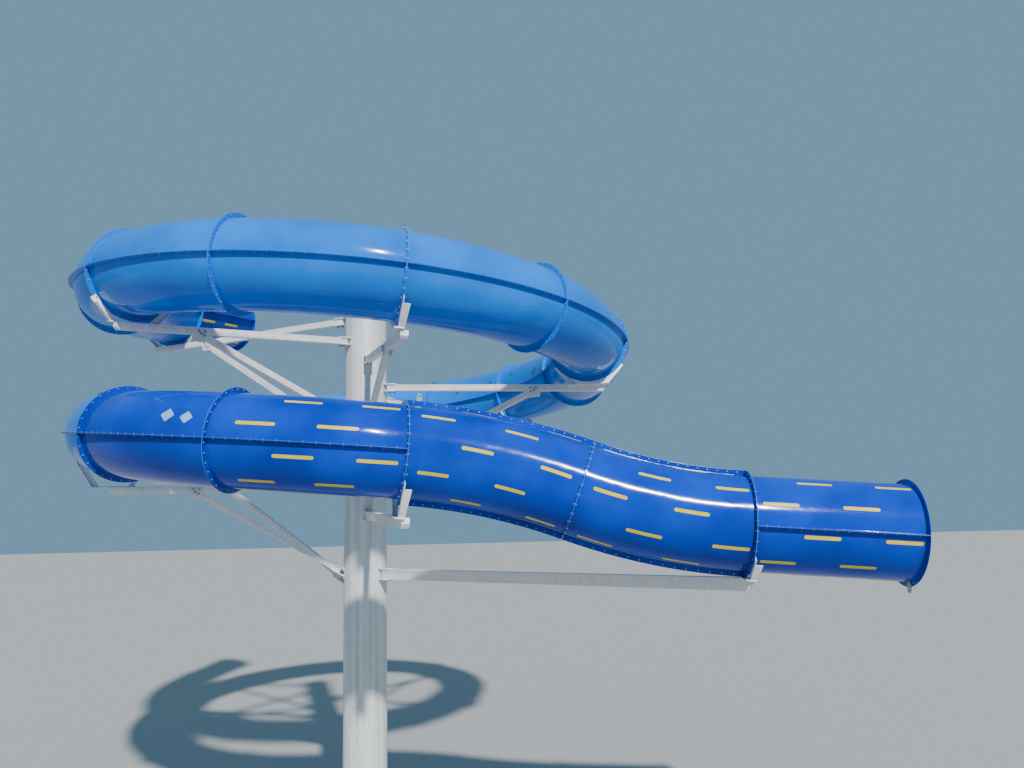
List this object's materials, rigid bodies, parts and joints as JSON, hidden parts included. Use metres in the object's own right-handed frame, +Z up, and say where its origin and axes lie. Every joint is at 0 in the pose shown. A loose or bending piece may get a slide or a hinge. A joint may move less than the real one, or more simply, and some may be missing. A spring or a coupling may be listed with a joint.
{
  "type": "enclosed spiral tube slide on a support column",
  "caption": "Enclosed spiral tube water slide of bolted half shells, carried by braced steel arms on a round column with a concrete footing.",
  "frame": {"origin": "centre of the concrete footing's underside, at ground level, on the column's axis", "axes": "+Z up; +X the way the run leaves at the exit tube, the picture's right; +Y away from the camera side, where the run leaves the coil"},
  "size_m": [14.2089, 10.8334, 11.5681],
  "materials": {
    "royal_gelcoat": "gloss",
    "azure_gelcoat": "gloss",
    "galvanised_steel": "galvanised",
    "column_steel": "satin",
    "concrete": "cast concrete"
  },
  "bodies": {
    "root": {"concrete_footing": "concrete", "base_plate": "galvanised_steel", "column": "column_steel", "column_cap": "galvanised_steel", "entry_tube_upper": "royal_gelcoat", "entry_tube_lower": "royal_gelcoat", "coil_tube_01_upper": "azure_gelcoat", "coil_tube_01_lower": "azure_gelcoat", "coil_tube_02_upper": "azure_gelcoat", "coil_tube_02_lower": "azure_gelcoat", "coil_tube_03_upper": "azure_gelcoat", "coil_tube_03_lower": "azure_gelcoat", "coil_tube_04_upper": "azure_gelcoat", "coil_tube_04_lower": "azure_gelcoat", "coil_tube_05_upper": "azure_gelcoat", "coil_tube_05_lower": "azure_gelcoat", "coil_tube_06_upper": "azure_gelcoat", "coil_tube_06_lower": "azure_gelcoat", "coil_tube_07_upper": "azure_gelcoat", "coil_tube_07_lower": "azure_gelcoat", "coil_tube_08_upper": "azure_gelcoat", "coil_tube_08_lower": "azure_gelcoat", "coil_tube_09_upper": "azure_gelcoat", "coil_tube_09_lower": "azure_gelcoat", "coil_tube_10_upper": "azure_gelcoat", "coil_tube_10_lower": "azure_gelcoat", "coil_tube_11_upper": "azure_gelcoat", "coil_tube_11_lower": "azure_gelcoat", "coil_tube_12_upper": "azure_gelcoat", "coil_tube_12_lower": "azure_gelcoat", "coil_tube_13_upper": "azure_gelcoat", "coil_tube_13_lower": "azure_gelcoat", "coil_tube_14_upper": "azure_gelcoat", "coil_tube_14_lower": "azure_gelcoat", "coil_tube_15_upper": "royal_gelcoat", "coil_tube_15_lower": "royal_gelcoat", "coil_tube_16_upper": "royal_gelcoat", "coil_tube_16_lower": "royal_gelcoat", "bend_tube_right": "royal_gelcoat", "bend_tube_left": "royal_gelcoat", "drop_tube_right": "royal_gelcoat", "drop_tube_left": "royal_gelcoat", "exit_tube_upper": "royal_gelcoat", "exit_tube_lower": "royal_gelcoat", "arm_entry": "galvanised_steel", "arm_upper_left": "galvanised_steel", "arm_upper_front": "galvanised_steel", "arm_upper_right": "galvanised_steel", "arm_upper_back": "galvanised_steel", "arm_lower_back": "galvanised_steel", "arm_lower_left": "galvanised_steel", "arm_lower_front": "galvanised_steel", "arm_exit": "galvanised_steel"}
  },
  "joints": []
}
